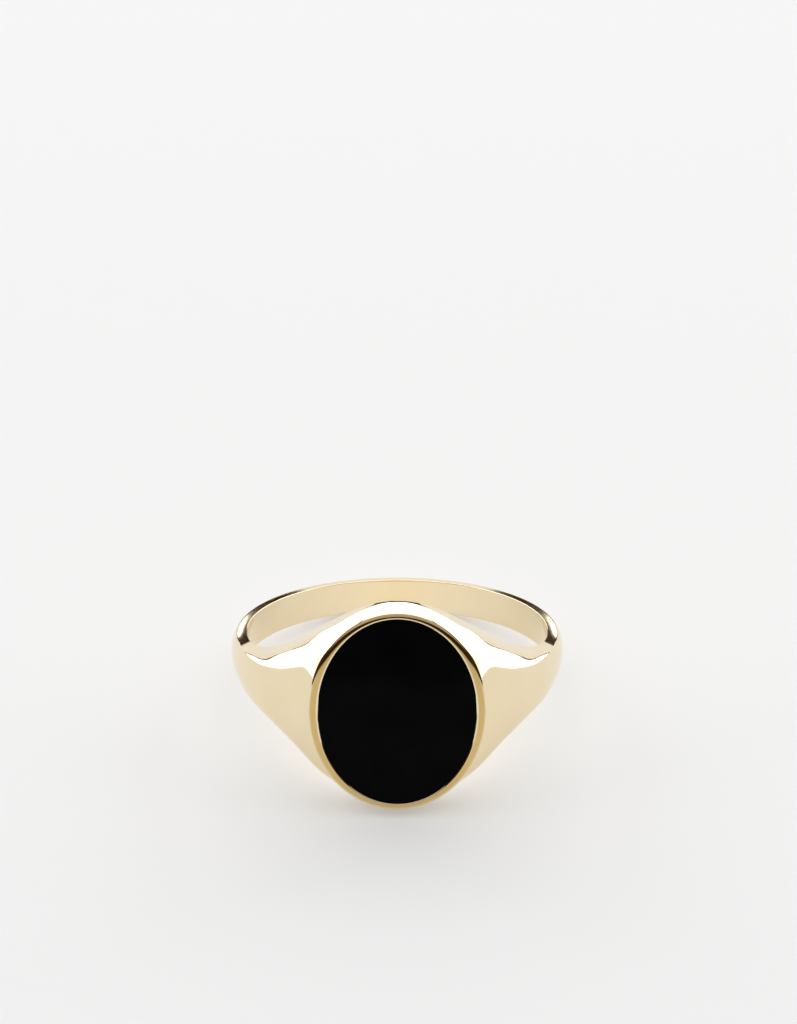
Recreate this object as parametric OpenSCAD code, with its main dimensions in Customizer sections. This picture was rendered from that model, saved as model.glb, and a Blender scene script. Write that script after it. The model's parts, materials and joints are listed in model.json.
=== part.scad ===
// Signet ring with a flat oval inlay, lying on a table as it comes to rest.
// Millimetres, +Z up. The face looks towards -Y and leans back a little.

/* [Finger] */
// Inside diameter of the band
bore_d = 19.8; // [16:0.1:22]

/* [Band] */
// Width of the band at the back
band_w = 2.3; // [1.8:0.1:4]
// Thickness of the band at the back and sides
band_t = 1.05; // [0.9:0.05:1.8]
// How much narrower the band is outside than at the bore, on each side
band_taper = 0.15; // [0:0.05:0.3]
// Rise of the band's outside from its edges to its middle
band_crown = 0.3; // [0.1:0.05:0.4]
// Rise of the shoulder's outside from its edges to its middle, beside the head
shoulder_crown = 0.45; // [0.2:0.05:0.5]
// Radius that eases the edge of the bore
lip_r = 0.45; // [0.25:0.05:0.5]
// Radius along the outer edges of the band and shoulders
ridge_r = 0.5; // [0.2:0.05:0.55]

/* [Head] */
// Metal and stone from the bore to the face
head_t = 2.25; // [2:0.05:4]
// Width of the rim that shows round the stone
rim_w = 0.55; // [0.35:0.05:1]
// Depth of the rounded bevel on the rim
bevel_h = 0.28; // [0.15:0.01:0.35]
// Flat land left between the bevel and the stone
land_w = 0.08; // [0.05:0.01:0.2]
// Height of the rim above the head's top
rim_h = 0.4; // [0.36:0.02:0.6]
// Ledge of the head that shows outside the rim
ledge_w = 0.1; // [0.08:0.01:0.3]

/* [Shoulders] */
// Angle round the bore over which its edge drops from the head to the band
bore_flare = 43; // [36:1:50]
// Distance past the head's side over which the outer edge drops to the band
edge_flare = 0.4; // [0.3:0.05:1]

/* [Inlay] */
// Width of the stone, across the finger
inlay_w = 10; // [7:0.1:11]
// Length of the stone, along the finger
inlay_l = 12.4; // [9:0.1:14]
// Thickness of the stone
inlay_t = 1; // [0.7:0.05:1.3]
// Bevel on the stone's lower edge
inlay_bevel = 0.15; // [0.05:0.05:0.3]
// Gap between the stone and the pocket's wall
inlay_fit = 0.04; // [0.02:0.01:0.1]
// Thickness of the cement bed
cement_t = 0.1; // [0.05:0.05:0.2]

/* [Hidden] */

bore_r = bore_d / 2;
band_r = bore_r + band_t;
face_y = bore_r + head_t;
top_y = face_y - rim_h;
pocket_w = inlay_w + 2 * inlay_fit;
pocket_l = inlay_l + 2 * inlay_fit;
pocket_depth = inlay_t + cement_t;
rim_half_w = pocket_w / 2 + rim_w;
rim_half_l = pocket_l / 2 + rim_w;
head_half_w = rim_half_w + ledge_w;
head_half_l = rim_half_l + ledge_w;
edge_reach = head_half_w + edge_flare;

// Facets round the oval, columns on one side of the ring and steps in each rounded edge
oval_sides = 72;
head_columns = 9;
side_columns = 42;
edge_steps = 4;

// The metal inside the bore's surface that the bore then cuts away
bore_stock = 0.15;
// Powers of the two drops: the outer one keeps the edge outside the rim's oval
bore_power = 1.6;
edge_power = 2.4;
// Drop from the bore's edge to the outer edge of the head's end
end_lean = 0.17;
// Angle by which the shoulders have taken on the band's crown and edge radius
blend_angle = 70;
// Least radius, where the head's top is kept flat up to its edge
crisp_r = 0.05;
// Spread, to each side of the head's corner, of the shoulder's own crown
corner_spread = 12;
// Depth to which the rim is rooted in the head
rim_root = 0.6;

// Each shoulder is an arc that leaves the band upright and meets the head's corner
shoulder_run = band_r - head_half_w;
shoulder_r = (shoulder_run ^ 2 + top_y ^ 2) / (2 * shoulder_run);
shoulder_x = shoulder_r - band_r;
corner_angle = atan2(head_half_w, top_y);

function ease(t) = let (c = max(0, min(1, t))) c * c * (3 - 2 * c);
function mix(a, b, t) = a + (b - a) * t;

// Outside of the ring in the plane of the bore's middle, a = 0 at the head and 180 at the back
function outer_r(a) =
    a <= corner_angle ? top_y / cos(a)
    : a >= 90 ? band_r
    : sqrt(shoulder_r ^ 2 - (shoulder_x * cos(a)) ^ 2) - shoulder_x * sin(a);

// Half widths of the ring at the bore and at its outer edge
function bore_half(a) =
    mix(band_w / 2, head_half_l - end_lean, exp(-(a / bore_flare) ^ bore_power));
function outer_half(a) =
    let (x = outer_r(a) * (a < 90 ? sin(a) : 1))
    mix(band_w / 2 - band_taper, head_half_l, exp(-(x / edge_reach) ^ edge_power));

// Arc that rounds the corner b between its neighbours a and c
function rounded(a, b, c, r) =
    let (
        u = (a - b) / norm(a - b),
        v = (c - b) / norm(c - b),
        half = acos(u * v) / 2,
        centre = b + (u + v) / norm(u + v) * r / sin(half),
        first = b + u * r / tan(half) - centre,
        last = b + v * r / tan(half) - centre,
        sweep = 180 - 2 * half
    )
    [for (k = [0:edge_steps])
        let (s = k / edge_steps)
        centre + (first * sin((1 - s) * sweep) + last * sin(s * sweep)) / sin(sweep)];

// Upper half of the section at angle a, from the bore over the edge to the middle of the outside
function half_section(a) =
    let (
        blend = ease((a - corner_angle) / (blend_angle - corner_angle)),
        beside = exp(-((a - corner_angle) / corner_spread) ^ 2),
        crown = mix(band_crown * blend, shoulder_crown, beside),
        middle = outer_r(a),
        top = outer_half(a),
        inner = bore_r - bore_stock,
        lip = [inner, bore_half(a)],
        edge = [middle - crown, top],
        shoulder = [middle - crown / 4, top / 2],
        ridge = mix(crisp_r, ridge_r, blend)
    )
    concat(
        rounded([inner, 0], lip, edge, lip_r),
        rounded(lip, edge, shoulder, ridge),
        [shoulder, [middle - crown / 16, top / 4]]
    );

// Whole section as a closed loop of points in space
function section(a) =
    let (
        half = half_section(abs(a)),
        n = len(half),
        loop = concat(
            half,
            [[outer_r(abs(a)), 0]],
            [for (k = [n - 1:-1:0]) [half[k][0], -half[k][1]]]
        )
    )
    [for (p = loop) [p[0] * sin(a), -p[0] * cos(a), p[1]]];

// Oval of half width w and half length l, at distance y in front of the bore's middle
function oval(w, l, y) =
    [for (k = [0:oval_sides - 1])
        let (t = -360 * k / oval_sides)
        [w * cos(t), -y, l * sin(t)]];

// Angles of the sections, from the right of the back, over the head, to the back's middle
side_angles = concat(
    [for (k = [1:head_columns]) corner_angle * k / head_columns],
    [for (k = [1:side_columns - 1]) mix(corner_angle, 180, k / side_columns)]
);
section_angles = concat(
    [for (k = [len(side_angles) - 1:-1:0]) side_angles[k]],
    [0],
    [for (a = side_angles) -a],
    [180]
);
body_sections = [for (a = section_angles) section(a)];

// Outline of the rim from its foot in the head, over the bevel, to the land
bevel_w = rim_w - land_w;
rim_loops = concat(
    [oval(rim_half_w, rim_half_l, top_y - rim_root)],
    [for (k = [0:edge_steps])
        let (
            t = 90 * k / edge_steps,
            inset = bevel_w * (1 - cos(t)),
            y = face_y - bevel_h * (1 - sin(t))
        )
        oval(rim_half_w - inset, rim_half_l - inset, y)]
);

// The ring rests on the lower end of its head and the back of its band
function height(p, lean) = p[2] * cos(lean) - p[1] * sin(lean);
function lowest(points, lean) = min([for (p = points) height(p, lean)]);
function rest_lean(low, high, steps) =
    let (
        lean = (low + high) / 2,
        head_hangs = lowest(section(0), lean) > lowest(section(180), lean)
    )
    steps == 0 ? lean : head_hangs ? rest_lean(low, lean, steps - 1) : rest_lean(lean, high, steps - 1);
lean = rest_lean(0, 45, 30);

// The origin is under the middle of the ring as it lies
rest_points = concat([for (s = body_sections) each s], [for (loop = rim_loops) each loop]);
rest_ys = [for (p = rest_points) p[1] * cos(lean) + p[2] * sin(lean)];
rest_shift = [0, -(min(rest_ys) + max(rest_ys)) / 2, -lowest(rest_points, lean)];
echo(lean = lean, bore_centre = rest_shift);

module at_rest() {
    translate(rest_shift)
        rotate([-lean, 0, 0])
            children();
}

// Solid through closed loops of points: joined end to start, or with a flat face at each end
module skin(loops, closed) {
    n = len(loops[0]);
    m = len(loops);
    sides = [
        for (i = [0:m - (closed ? 1 : 2)])
            for (j = [0:n - 1])
                let (
                    a = i * n + j,
                    b = i * n + (j + 1) % n,
                    c = (i + 1) % m * n + (j + 1) % n,
                    d = (i + 1) % m * n + j
                )
                each [[a, b, c], [a, c, d]]
    ];
    ends = closed ? [] : [
        [for (j = [n - 1:-1:0]) j],
        [for (j = [0:n - 1]) (m - 1) * n + j]
    ];
    polyhedron(points = [for (loop = loops) each loop], faces = concat(sides, ends));
}

// Oval slab from distance y0 to y1 in front of the bore's middle
module oval_slab(w, l, y0, y1) {
    translate([0, -y0, 0])
        rotate([90, 0, 0])
            linear_extrude(y1 - y0)
                polygon([for (p = oval(w / 2, l / 2, 0)) [p[0], p[2]]]);
}

module ring_body() {
    color("goldenrod")
        at_rest()
            difference() {
                union() {
                    skin(body_sections, true);
                    skin(rim_loops, false);
                }
                cylinder(h = 3 * head_half_l, r = bore_r, center = true, $fn = 128);
                oval_slab(pocket_w, pocket_l, face_y - pocket_depth, face_y + rim_h);
            }
}

module onyx_inlay() {
    bevel_y = face_y - inlay_t + inlay_bevel;
    half_w = inlay_w / 2;
    half_l = inlay_l / 2;
    color("black")
        at_rest()
            skin([
                oval(half_w - inlay_bevel, half_l - inlay_bevel, face_y - inlay_t),
                oval(half_w, half_l, bevel_y),
                oval(half_w, half_l, face_y)
            ], false);
}

module setting_cement() {
    color("gainsboro")
        at_rest()
            oval_slab(inlay_w, inlay_l, face_y - pocket_depth, face_y - inlay_t);
}

ring_body();
onyx_inlay();
setting_cement();
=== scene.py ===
import json
import math

import bmesh
import bpy
from mathutils import Matrix, Vector


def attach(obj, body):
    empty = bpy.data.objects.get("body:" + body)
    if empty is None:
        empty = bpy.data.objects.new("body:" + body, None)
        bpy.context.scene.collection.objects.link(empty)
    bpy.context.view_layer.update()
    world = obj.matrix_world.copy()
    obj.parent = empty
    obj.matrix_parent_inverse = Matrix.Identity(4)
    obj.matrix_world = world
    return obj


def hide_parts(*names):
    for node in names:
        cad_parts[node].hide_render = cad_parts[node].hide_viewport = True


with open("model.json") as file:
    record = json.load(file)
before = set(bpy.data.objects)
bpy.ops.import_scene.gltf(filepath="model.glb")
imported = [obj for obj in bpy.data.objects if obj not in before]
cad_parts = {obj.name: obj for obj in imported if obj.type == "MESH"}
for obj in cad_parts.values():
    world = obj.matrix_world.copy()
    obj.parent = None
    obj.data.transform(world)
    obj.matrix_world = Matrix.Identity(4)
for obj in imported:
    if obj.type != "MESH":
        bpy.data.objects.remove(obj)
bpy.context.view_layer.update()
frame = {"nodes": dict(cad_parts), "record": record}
mm = 0.001
weldDist = 1e-5
mirrorWeldDist = 1e-4

# The finger bore gives the ring's own frame: Z along the finger, the face towards -Y
bore = next(m for m in frame["record"]["mounts"] if m["name"] == "finger_bore")
fingerAxis = Vector(bore["axis"]).normalized()
boreCentre = Vector(bore["pos_m"])
acrossFinger = Vector((1, 0, 0))
ringFrame = Matrix((acrossFinger, fingerAxis.cross(acrossFinger), fingerAxis)).transposed().to_4x4()
ringFrame.translation = boreCentre
ringScale = ringFrame @ Matrix.Scale(mm, 4)
print("frame loaded, bore axis", [round(c, 4) for c in fingerAxis])


def mix(a, b, t):
    return a + (b - a) * t


def ease(t):
    c = max(0.0, min(1.0, t))
    return c * c * (3 - 2 * c)


def softLimit(value, limit):  # follows small values and levels off at the limit
    return limit * math.tanh(value / limit)


def bell(x, middle, spread):
    return math.exp(-((x - middle) / spread) ** 2)


def sinDeg(a):
    return math.sin(math.radians(a))


def cosDeg(a):
    return math.cos(math.radians(a))


def finishPiece(bm, name, material, node):
    bmesh.ops.remove_doubles(bm, verts=bm.verts, dist=weldDist)
    bmesh.ops.recalc_face_normals(bm, faces=bm.faces)
    bmesh.ops.transform(bm, matrix=ringScale, verts=bm.verts)
    mesh = bpy.data.meshes.new(name)
    bm.to_mesh(mesh)
    bm.free()
    piece = bpy.data.objects.new(name, mesh)
    bpy.context.scene.collection.objects.link(piece)
    mesh.materials.append(material)
    for face in mesh.polygons:
        face.use_smooth = True
    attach(piece, "root")
    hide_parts(node)
    print(name, len(mesh.polygons), "faces")
    return piece


# Materials

def newMaterial(name):
    material = bpy.data.materials.new(name)
    material.use_nodes = True
    nodes = material.node_tree.nodes
    return material, nodes, material.node_tree.links, nodes["Principled BSDF"]


def noiseOnObject(nodes, links, scale, detail):
    coords = nodes.new("ShaderNodeTexCoord")
    noise = nodes.new("ShaderNodeTexNoise")
    noise.inputs["Scale"].default_value = scale
    noise.inputs["Detail"].default_value = detail
    links.new(coords.outputs["Object"], noise.inputs["Vector"])
    return noise.outputs["Fac"]


def rampFrom(nodes, links, source, low, high, start=0.3, end=0.7):
    ramp = nodes.new("ShaderNodeValToRGB")
    ramp.color_ramp.elements[0].position = start
    ramp.color_ramp.elements[1].position = end
    ramp.color_ramp.elements[0].color = (*low, 1)
    ramp.color_ramp.elements[1].color = (*high, 1)
    links.new(source, ramp.inputs["Fac"])
    return ramp.outputs["Color"]


def rangeFrom(nodes, links, source, low, high):
    span = nodes.new("ShaderNodeMapRange")
    span.inputs["To Min"].default_value = low
    span.inputs["To Max"].default_value = high
    links.new(source, span.inputs["Value"])
    return span.outputs["Result"]


goldFinish = {
    "warm": (0.885, 0.745, 0.50), "pale": (0.905, 0.77, 0.53), "cloudScale": 350.0, "cloudDetail": 3,
    # rim colours: a deeper, darker gold painted on the rim's flat as a painted reflection of gold seen in
    # gold, with the same random cloud
    "rimReflectionWarm": (0.65, 0.46, 0.175), "rimReflectionPale": (0.68, 0.485, 0.20),
    "smooth": 0.035, "dull": 0.06, "polishScale": 2600.0, "polishDetail": 5,
    "polishBump": 0.015, "polishDepth": 0.00001,
}


def polishedGold():
    material, nodes, links, shader = newMaterial("polishedGold")
    g = goldFinish
    cloud = noiseOnObject(nodes, links, g["cloudScale"], g["cloudDetail"])
    paintedReflection = nodes.new("ShaderNodeAttribute")
    paintedReflection.attribute_name = "rimPaintedReflection"  # 1 on the rim's flat, painted a deeper yellow as a painted reflection of gold seen in gold
    blend = nodes.new("ShaderNodeMix")
    blend.data_type = "RGBA"
    links.new(paintedReflection.outputs["Fac"], blend.inputs["Factor"])
    links.new(rampFrom(nodes, links, cloud, g["warm"], g["pale"]), blend.inputs["A"])
    links.new(rampFrom(nodes, links, cloud, g["rimReflectionWarm"], g["rimReflectionPale"]), blend.inputs["B"])
    links.new(blend.outputs["Result"], shader.inputs["Base Color"])
    polish = noiseOnObject(nodes, links, g["polishScale"], g["polishDetail"])
    links.new(rangeFrom(nodes, links, polish, g["smooth"], g["dull"]), shader.inputs["Roughness"])
    bump = nodes.new("ShaderNodeBump")
    bump.inputs["Strength"].default_value = g["polishBump"]
    bump.inputs["Distance"].default_value = g["polishDepth"]
    links.new(polish, bump.inputs["Height"])
    links.new(bump.outputs["Normal"], shader.inputs["Normal"])
    shader.inputs["Metallic"].default_value = 1.0
    return material


onyxFinish = {
    "deep": (0.0016, 0.0016, 0.0018), "veil": (0.0030, 0.0030, 0.0033),
    "veilScale": 420.0, "veilDetail": 6,
    "smooth": 0.1, "dull": 0.16, "polishScale": 3000.0, "polishDetail": 4, "specular": 0.02,
}


def blackOnyx():
    material, nodes, links, shader = newMaterial("blackOnyx")
    o = onyxFinish
    veil = noiseOnObject(nodes, links, o["veilScale"], o["veilDetail"])
    links.new(rampFrom(nodes, links, veil, o["deep"], o["veil"]), shader.inputs["Base Color"])
    polish = noiseOnObject(nodes, links, o["polishScale"], o["polishDetail"])
    links.new(rangeFrom(nodes, links, polish, o["smooth"], o["dull"]), shader.inputs["Roughness"])
    shader.inputs["Specular IOR Level"].default_value = o["specular"]
    return material


cementFinish = {
    "light": (0.62, 0.6, 0.54), "dark": (0.5, 0.48, 0.43), "dull": 0.8,
    "grainScale": 1800.0, "grainDetail": 8,
}


def settingCement():
    material, nodes, links, shader = newMaterial("settingCement")
    c = cementFinish
    grain = noiseOnObject(nodes, links, c["grainScale"], c["grainDetail"])
    links.new(rampFrom(nodes, links, grain, c["dark"], c["light"]), shader.inputs["Base Color"])
    shader.inputs["Roughness"].default_value = c["dull"]
    return material


gold = polishedGold()
onyx = blackOnyx()
cementBed = frame["nodes"]["setting_cement"].data  # hidden under the stone, so the CAD node stays
cementBed.materials.clear()
cementBed.materials.append(settingCement())
print("materials made")


# Ring body, in millimetres in the ring's own frame. A quarter of it is a cage of sections that fan out
# from the bore's edge, over the wall and the ridge, to the rim's foot or to the band's middle.
# Angles are in degrees round the bore, 0 at the head and 180 at the back. A From and an Over give the
# start and the length of a soft change, an At and a Spread the middle and the width of a swell.
ring = {
    "boreR": bore["dims"]["r_mm"], "frontCols": 16, "backCols": 30, "smoothLevels": 2,
    # band and its rounded outside
    "bandR": 10.945, "bandHalf": 1.12, "bandEdgeHalf": 0.984,
    "bandCrown": 0.3, "crownFrom": 35, "crownOver": 65,
    # rim: its oval, its foot at the sides and the ends, its face and the ease of its edge
    "rimHalfW": 5.59, "rimHalfL": 6.7, "faceY": 12.15,
    "footY": 12.11, "footEnd": 12.07, "footFrom": 0.3, "footOver": 0.4, "footMargin": 0.1,
    "edgeSide": 0.1, "edgeEnd": 0.42, "edgeFrom": 0.4, "edgeOver": 0.35,
    "pocketW": 5.04, "pocketL": 6.24, "pocketEdge": 0.02, "pocketDepth": 1.1,
    # half length of the bore
    "boreEnd": 6.675, "boreFlare": 41.5, "borePower": 2.05, "boreDip": 0.04, "dipAt": 66, "dipSpread": 12,
    "boreHollow": 0.03, "hollowFrom": 1, "hollowOver": 7,
    # ridge between the wall and the outside
    "ridgeReach": 6.09, "ridgePower": 2.4, "ridgeLift": 0.3, "liftAt": 5.2, "liftSpread": 1.3,
    "tailLift": 0.18, "tailAt": 60, "tailSpread": 12, "endShare": 0.7, "endFade": 0.4,
    "ridgeSet": 1.0, "bandRidgeSet": 0.18, "bandFrom": 40, "bandOver": 50,
    # soft strip beside the bore, and the crest where it turns down into the wall
    "lipEnd": 0.32, "lipShoulder": 1.7, "lipFrom": 4, "lipOver": 18, "lipBand": 0.12, "lipTight": 0.07,
    "crestRise": 0.45, "endRise": 0.018, "crestAt": 33.0, "crestSpread": 20.0, "crestTail": 22.0,
    "crestTight": 0.6,
    # how far the sections fan out
    "fanAngle": 42.4, "ridgeLag": 5.0, "midLag": 16.8, "lagOver": 70,
    # largest shares of a section's stretches that its rounded corners may take
    "crestLimit": 0.72, "lipShare": 0.3, "stripShare": 0.45, "faceShare": 0.4,
    "ridgeLimit": 0.35, "sideLimit": 0.45, "middleShare": 0.25, "leastSide": 0.02,
}
# Rings drawn in from the rim's foot: share of its width and depth below the face, at the sides and the
# ends, and a 1 where the ring is painted the rim's deeper gold as a painted reflection. The last two are
# the pocket's edge and floor.
rimRings = [
    {"side": 0.2, "end": 0.7, "sideLow": 0.028, "endLow": 0.003, "paintedReflection": 1, "sharp": 0},
    {"side": 0.5, "end": 0.78, "sideLow": 0.011, "endLow": 0.001, "paintedReflection": 1, "sharp": 0},
    {"side": 0.8, "end": 0.85, "sideLow": 0, "endLow": 0, "paintedReflection": 1, "sharp": 0},
    {"side": 0.86, "end": 0.9, "sideLow": 0, "endLow": 0, "paintedReflection": 0, "sharp": 0},
]
for depth in (ring["pocketEdge"], ring["pocketDepth"]):
    rimRings.append({"side": 1, "end": 1, "sideLow": depth, "endLow": depth, "paintedReflection": 0, "sharp": 1})

# Each shoulder is an arc that leaves the band upright, and the head's top a shallow dome between the two
shoulderRun = ring["bandR"] - ring["rimHalfW"]
shoulderR = (shoulderRun ** 2 + ring["footY"] ** 2) / (2 * shoulderRun)
shoulderX = shoulderR - ring["bandR"]
rimAngle = math.degrees(math.atan2(ring["rimHalfW"], ring["footY"]))
domeHeight = (ring["rimHalfW"] + shoulderX) / ring["footY"] * ring["rimHalfW"] / 2
dome = domeHeight / ring["rimHalfL"] ** 2


def sideRadius(a):  # outside of the ring at mid width
    s, c = sinDeg(a), cosDeg(a)
    if a >= 90:
        return ring["bandR"]
    if a >= rimAngle:
        return math.sqrt(shoulderR ** 2 - (shoulderX * c) ** 2) - shoulderX * s
    k = domeHeight * (s / ring["rimHalfW"]) ** 2
    top = ring["footY"] + domeHeight
    return 2 * top / (c + math.sqrt(c * c + 4 * k * top))


def crownAt(a):  # how fast the outside falls away from mid width
    near = min(a, rimAngle)
    slope = 2 * domeHeight * min(sideRadius(a) * sinDeg(a), ring["rimHalfW"]) / ring["rimHalfW"] ** 2
    head = dome / (slope * sinDeg(near) + cosDeg(near))
    band = ring["bandCrown"] / ring["bandEdgeHalf"] ** 2
    return mix(head, band, ease((a - ring["crownFrom"]) / ring["crownOver"]))


def outside(a, z):
    r = sideRadius(a) - crownAt(a) * z * z
    return Vector((r * sinDeg(a), -r * cosDeg(a), z))


def boreHalf(a):
    flare = math.exp(-(a / ring["boreFlare"]) ** ring["borePower"])
    dip = ring["boreDip"] * bell(a, ring["dipAt"], ring["dipSpread"])
    return mix(ring["bandHalf"], ring["boreEnd"], flare) - dip


def ridgeHalf(a):
    x = sideRadius(a) * (sinDeg(a) if a < 90 else 1)
    lift = ring["ridgeLift"] * bell(x, ring["liftAt"], ring["liftSpread"])
    tail = ring["tailLift"] * bell(a, ring["tailAt"], ring["tailSpread"])
    fall = math.exp(-(x / ring["ridgeReach"]) ** ring["ridgePower"])
    return mix(ring["bandEdgeHalf"], ring["rimHalfL"], fall) + lift + tail


def crestHeight(a):  # how far the crest stands above a straight wall
    spread, least = ring["crestTail"], 0
    if a < ring["crestAt"]:
        spread, least = ring["crestSpread"], ring["endRise"]
    return max(ring["crestRise"] * math.exp(-((a - ring["crestAt"]) / spread) ** 4), least)


def rimPoint(turn, y, inset=(0.0, 0.0)):
    w, l = ring["rimHalfW"] - inset[0], ring["rimHalfL"] - inset[1]
    return Vector((w * cosDeg(turn), -y, l * sinDeg(turn)))


def sectionPoints(s):  # s runs from 0 at the head's end, over 1 at the rim's side, to 2 at the back
    fan = ring["fanAngle"]
    if s <= 1:
        boreA = fan * s
        footY = mix(ring["footEnd"], ring["footY"], ease((s - ring["footFrom"]) / ring["footOver"]))
        edge = rimPoint(90 * (1 - s), footY)
        edgeA, edgeZ = math.degrees(math.atan2(edge.x, -edge.y)), edge.z
    else:
        boreA = fan * s + (180 - 2 * fan) * (s - 1) ** 2
        edgeA, edgeZ = boreA - ring["midLag"] * (1 - ease((boreA - fan) / ring["lagOver"])), 0.0
        edge = outside(edgeA, 0)
    ratio = (boreA / fan) ** 2
    ridgeA = boreA - ring["ridgeLag"] * ratio * math.exp(1 - ratio)
    ridgeZ = max(ridgeHalf(ridgeA), edgeZ)
    miss = edge - outside(edgeA, edgeZ)

    lip = Vector((ring["boreR"] * sinDeg(boreA), -ring["boreR"] * cosDeg(boreA), boreHalf(boreA)))
    ledge = (outside(ridgeA, ridgeZ) - edge).length
    hold = math.exp(-(ledge / ring["endFade"]) ** 2)  # 1 where the head's end has no ridge of its own
    toBand = ease((boreA - ring["bandFrom"]) / ring["bandOver"])
    headLip = mix(ring["lipEnd"], ring["lipShoulder"], ease((boreA - ring["lipFrom"]) / ring["lipOver"]))
    lipSet = mix(headLip, ring["lipBand"], toBand)
    rise = crestHeight(boreA)
    carry = (1 - ring["endShare"]) / (1 - lipSet / (edge - lip).length)
    headRidge = lip.lerp(edge, ring["endShare"]) + Vector((0, 0, rise * carry))

    def side(w):  # the outside, from the ridge to the rim's foot or the band's middle
        skin = outside(mix(ridgeA, edgeA, w), mix(ridgeZ, edgeZ, w)) + miss * w
        return skin.lerp(headRidge.lerp(edge, w), hold)

    # the wall: a soft strip from the bore's edge to a crest, then a steeper face down to the ridge
    ridge = side(0)
    ridgeSet = mix(ring["ridgeSet"], ring["bandRidgeSet"], toBand)
    crestShare = min(lipSet / (ridge - lip).length, ring["crestLimit"])
    crest = lip.lerp(ridge, crestShare) + Vector((0, 0, rise * (1 - hold * carry)))
    stripLength, faceLength = (crest - lip).length, (ridge - crest).length
    near = min(ring["lipTight"], ring["lipShare"] * stripLength)
    turn = min(ring["crestTight"], ring["stripShare"] * stripLength, ring["faceShare"] * faceLength)
    lips = [lip - Vector((0, 0, 2 * near)), lip, lip.lerp(crest, near / stripLength),
            crest.lerp(lip, turn / stripLength), crest]
    faceT = turn / faceLength
    ridgeT = 1 - softLimit(ridgeSet / faceLength, ring["ridgeLimit"])
    walls = [crest.lerp(ridge, mix(faceT, ridgeT, k / 2)) for k in range(3)]

    sideLength = (edge - ridge).length
    sideSpan = max(sideLength, ring["leastSide"])
    sideW = softLimit(ridgeSet / sideSpan, ring["sideLimit"])
    rimEdge = mix(ring["edgeEnd"], ring["edgeSide"], ease((s - ring["edgeFrom"]) / ring["edgeOver"]))
    edgeSet = rimEdge if s <= 1 else ring["middleShare"] * sideLength
    edgeW = 1 - min(edgeSet / sideSpan, ring["sideLimit"])
    sides = [side(mix(sideW, edgeW, k / 3)) for k in range(4)] + [edge]
    return lips + walls + [ridge] + sides


def addRim(bm):
    crease = bm.edges.layers.float.new("crease_edge")
    # marks the rim's flat for its painted reflection, a deeper gold painted in the material
    paintedReflection = bm.verts.layers.float.new("rimPaintedReflection")
    footLimit = ring["footMargin"] - ring["footEnd"]
    loop = [e for e in bm.edges if e.is_boundary and all(v.co.y < footLimit for v in e.verts)]
    widthSide, widthEnd = ring["rimHalfW"] - ring["pocketW"], ring["rimHalfL"] - ring["pocketL"]
    lastInset = (0.0, 0.0)
    for r in rimRings:
        inset = (widthSide * r["side"], widthEnd * r["end"])
        made = bmesh.ops.extrude_edge_only(bm, edges=loop)["geom"]
        loop = [e for e in made if isinstance(e, bmesh.types.BMEdge) and e.is_boundary]
        for v in {v for e in loop for v in e.verts}:
            across = v.co.x / (ring["rimHalfW"] - lastInset[0])
            along = v.co.z / (ring["rimHalfL"] - lastInset[1])
            turn = math.atan2(along, across)
            depth = mix(r["sideLow"], r["endLow"], math.sin(turn) ** 2)
            v.co = rimPoint(math.degrees(turn), ring["faceY"] - depth, inset)
            v[paintedReflection] = r["paintedReflection"]
        for e in loop:
            e[crease] = r["sharp"]
            e.smooth = not r["sharp"]
        lastInset = inset
    bmesh.ops.holes_fill(bm, edges=loop, sides=0)


def addBoreWall(bm):  # joins the bore's two edges, with a trace hollow at the back of the band
    bmesh.ops.bridge_loops(bm, edges=[e for e in bm.edges if e.is_boundary])
    across = [e for e in bm.edges if e.verts[0].co.z * e.verts[1].co.z < 0]
    made = bmesh.ops.subdivide_edges(bm, edges=across, cuts=1, use_grid_fill=True)["geom_inner"]
    for v in {v for v in made if isinstance(v, bmesh.types.BMVert)}:
        deepen = ease((v.co.y - ring["hollowFrom"]) / ring["hollowOver"])
        v.co *= 1 + ring["boreHollow"] / ring["boreR"] * deepen


def buildRingBody():
    front, back = ring["frontCols"], ring["backCols"]
    columns = front + back
    stations = [k / front for k in range(front)] + [1 + k / back for k in range(back + 1)]
    sections = [sectionPoints(s) for s in stations]
    rows = len(sections[0]) - 1
    bm = bmesh.new()
    bmesh.ops.create_grid(bm, x_segments=columns, y_segments=rows, size=0.5)
    for v in bm.verts:
        v.co = sections[round((v.co.x + 0.5) * columns)][round((v.co.y + 0.5) * rows)]
    for axis in ("X", "Z"):
        quarter = bm.verts[:] + bm.edges[:] + bm.faces[:]
        bmesh.ops.mirror(bm, geom=quarter, axis=axis, merge_dist=mirrorWeldDist)
    bmesh.ops.remove_doubles(bm, verts=bm.verts, dist=weldDist)
    addRim(bm)
    addBoreWall(bm)
    body = finishPiece(bm, "ringBody", gold, "ring_body")
    smooth = body.modifiers.new("smooth", "SUBSURF")
    smooth.levels = smooth.render_levels = ring["smoothLevels"]


buildRingBody()


# Inlay: a flat oval tablet with eased edges, its top flush with the rim
inlay = {
    "halfW": 5.0, "halfL": 6.2, "thick": 1.0, "sides": 240,
    "edgeEase": 0.03, "easeSteps": 3, "sharpAngle": 32, "levelTest": 1e-6,
}


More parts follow.
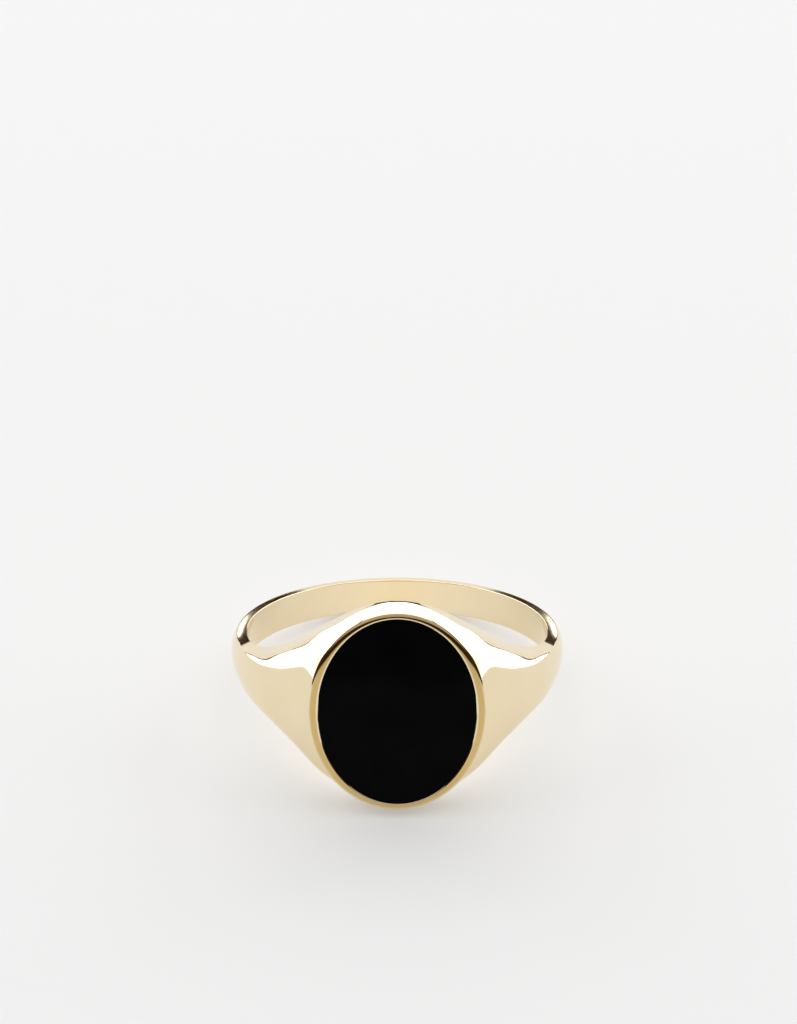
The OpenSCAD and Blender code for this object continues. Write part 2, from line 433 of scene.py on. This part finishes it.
def buildInlay():
    bm = bmesh.new()
    bmesh.ops.create_circle(bm, cap_ends=True, segments=inlay["sides"], radius=1)
    oval = Matrix.Diagonal((inlay["halfW"], inlay["halfL"], 1, 1))
    bmesh.ops.transform(bm, matrix=oval, verts=bm.verts)
    made = bmesh.ops.extrude_face_region(bm, geom=bm.faces[:])["geom"]
    top = [v for v in made if isinstance(v, bmesh.types.BMVert)]
    bmesh.ops.translate(bm, vec=(0, 0, inlay["thick"]), verts=top)
    rims = [e for e in bm.edges if abs(e.verts[0].co.z - e.verts[1].co.z) < inlay["levelTest"]]
    bmesh.ops.bevel(bm, geom=rims, offset=inlay["edgeEase"], offset_type="OFFSET", affect="EDGES",
                    segments=inlay["easeSteps"], profile=0.5, material=-1)
    seat = Matrix.Translation((0, -(ring["faceY"] - inlay["thick"]), 0))
    stand = seat @ Matrix.Rotation(math.radians(90), 4, "X")
    bmesh.ops.transform(bm, matrix=stand, verts=bm.verts)
    stone = finishPiece(bm, "onyxInlay", onyx, "onyx_inlay")
    stone.data.set_sharp_from_angle(angle=math.radians(inlay["sharpAngle"]))


buildInlay()


# Stage, in metres: pale floor, dark cloth, soft panels, world and camera
stage = {
    "floorColour": (0.84, 0.84, 0.84), "paper": (0.888, 0.888, 0.888),
    "paperShare": 0.3, "glossShare": 0.3,
    "floorHalf": 0.76, "floorBack": 0.15, "slotNear": 0.034, "slotFar": 0.13,
    "wingBack": 0.75, "wingRise": 0.008, "fill": (0.1, 0.1, 0.1), "darkCloth": (0.08, 0.045, 0.02),
    "stripHalf": 0.85, "stripBack": 0.77, "stripLow": -0.05, "stripHigh": 0.03,
    "drapeR": 1.25, "drapeHigh": 2.0, "drapeSides": 64, "drapeBack": -0.3,
}


def mattMaterial(name, colour):
    material, nodes, links, shader = newMaterial(name)
    shader.inputs["Base Color"].default_value = (*colour, 1)
    shader.inputs["Roughness"].default_value = 1.0
    shader.inputs["Specular IOR Level"].default_value = 0.0
    return material, nodes, links, shader


def pathShare(nodes, links, camera, mirrored):  # share of the paper's plain colour, by kind of ray
    path = nodes.new("ShaderNodeLightPath")
    most = rangeFrom(nodes, links, path.outputs["Is Camera Ray"], 0, camera)
    for ray in ("Is Glossy Ray", "Is Transmission Ray"):
        larger = nodes.new("ShaderNodeMath")
        larger.operation = "MAXIMUM"
        links.new(most, larger.inputs[0])
        links.new(rangeFrom(nodes, links, path.outputs[ray], 0, mirrored), larger.inputs[1])
        most = larger.outputs["Value"]
    return most


def stageSheet(bm, name, material):
    mesh = bpy.data.meshes.new(name)
    bm.to_mesh(mesh)
    bm.free()
    sheet = bpy.data.objects.new(name, mesh)
    bpy.context.scene.collection.objects.link(sheet)
    mesh.materials.append(material)


def buildFloor():
    bm = bmesh.new()
    bmesh.ops.create_grid(bm, x_segments=3, y_segments=2, size=1)
    slot = [f for f in bm.faces if f.calc_center_median().y > 0 and abs(f.calc_center_median().x) < 0.1]
    bmesh.ops.delete(bm, geom=slot, context="FACES")
    half = stage["floorHalf"]
    reach = {-1: stage["floorBack"] - 2 * half, 0: stage["floorBack"], 1: stage["wingBack"]}
    for v in bm.verts:  # two wings of the paper rise to the back panel, with a slot between them
        raised = v.co.y > 0.5
        slotHalf = stage["slotFar" if raised else "slotNear"]
        x = math.copysign(half if abs(v.co.x) > 0.5 else slotHalf, v.co.x)
        v.co = (x, reach[round(v.co.y)], stage["wingRise"] if raised else 0)
    material, nodes, links, shader = mattMaterial("palePaper", stage["floorColour"])
    glow = nodes.new("ShaderNodeEmission")
    glow.inputs["Color"].default_value = (*stage["paper"], 1)
    blend = nodes.new("ShaderNodeMixShader")
    links.new(pathShare(nodes, links, stage["paperShare"], stage["glossShare"]), blend.inputs["Fac"])
    links.new(shader.outputs["BSDF"], blend.inputs[1])
    links.new(glow.outputs["Emission"], blend.inputs[2])
    links.new(blend.outputs["Shader"], nodes["Material Output"].inputs["Surface"])
    stageSheet(bm, "floor", material)


def buildDarkCloth():  # a low strip at the back and a drape round the front give the metal its dark lines
    material = mattMaterial("darkCloth", stage["darkCloth"])[0]
    strip = bmesh.new()
    bmesh.ops.create_grid(strip, x_segments=1, y_segments=1, size=1)
    for v in strip.verts:
        height = stage["stripHigh"] if v.co.y > 0 else stage["stripLow"]
        v.co = (v.co.x * stage["stripHalf"], stage["stripBack"], height)
    stageSheet(strip, "darkStrip", material)
    drape = bmesh.new()
    bmesh.ops.create_circle(drape, segments=stage["drapeSides"], radius=stage["drapeR"])
    made = bmesh.ops.extrude_edge_only(drape, edges=drape.edges[:])["geom"]
    raised = [v for v in made if isinstance(v, bmesh.types.BMVert)]
    bmesh.ops.translate(drape, vec=(0, 0, stage["drapeHigh"]), verts=raised)
    spare = [f for f in drape.faces if f.calc_center_median().y > stage["drapeBack"]]
    bmesh.ops.delete(drape, geom=spare, context="FACES")
    stageSheet(drape, "darkDrape", material)


panels = {
    "backPanel": {"place": (0, 0.75, 0.4765), "aim": (0, 0, 0.4765), "size": (1.9, 0.897),
                  "radiance": 1.7},
    "leftPanel": {"place": (-0.75, 0.225, 0.46), "aim": (0, 0.225, 0.46), "size": (1.05, 0.92),
                  "radiance": 1.3},
    "rightPanel": {"place": (0.75, 0.225, 0.46), "aim": (0, 0.225, 0.46), "size": (1.05, 0.92),
                   "radiance": 1.3},
    "topPanel": {"place": (0, 0.12, 0.9), "aim": (0, 0.12, 0), "size": (1.2, 1.26), "radiance": 1.05},
    "frontPanel": {"place": (0, -0.6, 0.52), "aim": (0, 0, 0), "size": (1.2, 0.62), "radiance": 0.5},
}


def softPanel(name, panel):
    width, height = panel["size"]
    lamp = bpy.data.lights.new(name, "AREA")
    lamp.shape = "RECTANGLE"
    lamp.size, lamp.size_y = width, height
    lamp.energy = panel["radiance"] * math.pi * width * height
    holder = bpy.data.objects.new(name, lamp)
    holder.location = panel["place"]
    gaze = Vector(panel["aim"]) - Vector(panel["place"])
    holder.rotation_euler = gaze.to_track_quat("-Z", "Y").to_euler()
    bpy.context.scene.collection.objects.link(holder)


def buildWorld():  # as pale as the paper to the eye and in the metal, dim as a light
    world = bpy.data.worlds.new("studio")
    world.use_nodes = True
    nodes, links = world.node_tree.nodes, world.node_tree.links
    tint = nodes.new("ShaderNodeMix")
    tint.data_type = "RGBA"
    tint.inputs["A"].default_value = (*stage["fill"], 1)
    tint.inputs["B"].default_value = (*stage["paper"], 1)
    links.new(pathShare(nodes, links, 1, 1), tint.inputs["Factor"])
    links.new(tint.outputs["Result"], nodes["Background"].inputs["Color"])
    bpy.context.scene.world = world


buildFloor()
buildDarkCloth()
for name, panel in panels.items():
    softPanel(name, panel)
buildWorld()
print("stage built")

# Camera: elevation and place in the ring's own frame, in degrees and mm; focal length and drop in pixels
view = {
    "elevation": 20.3, "distance": 250.0, "aside": 0.079, "focalPx": 3787.5, "drop": 133.5,
    "sensor": 36.0, "longSide": 1024, "clipStart": 0.01,
}


def buildCamera():
    camera = bpy.data.cameras.new("camera")
    camera.sensor_width = view["sensor"]
    camera.lens = view["focalPx"] / view["longSide"] * view["sensor"]
    camera.clip_start = view["clipStart"]
    holder = bpy.data.objects.new("camera", camera)
    rise = math.radians(view["elevation"])
    eye = Vector((view["aside"], -view["distance"] * math.cos(rise), view["distance"] * math.sin(rise)))
    holder.location = ringScale @ eye
    gaze = boreCentre - holder.location
    dip = math.atan2(-gaze.z, gaze.y)
    holder.rotation_euler = (math.pi / 2 - dip + math.atan2(view["drop"], view["focalPx"]), 0, 0)
    bpy.context.scene.collection.objects.link(holder)
    bpy.context.scene.camera = holder


buildCamera()
bpy.context.scene.view_settings.view_transform = "Standard"

bpy.context.view_layer.update()
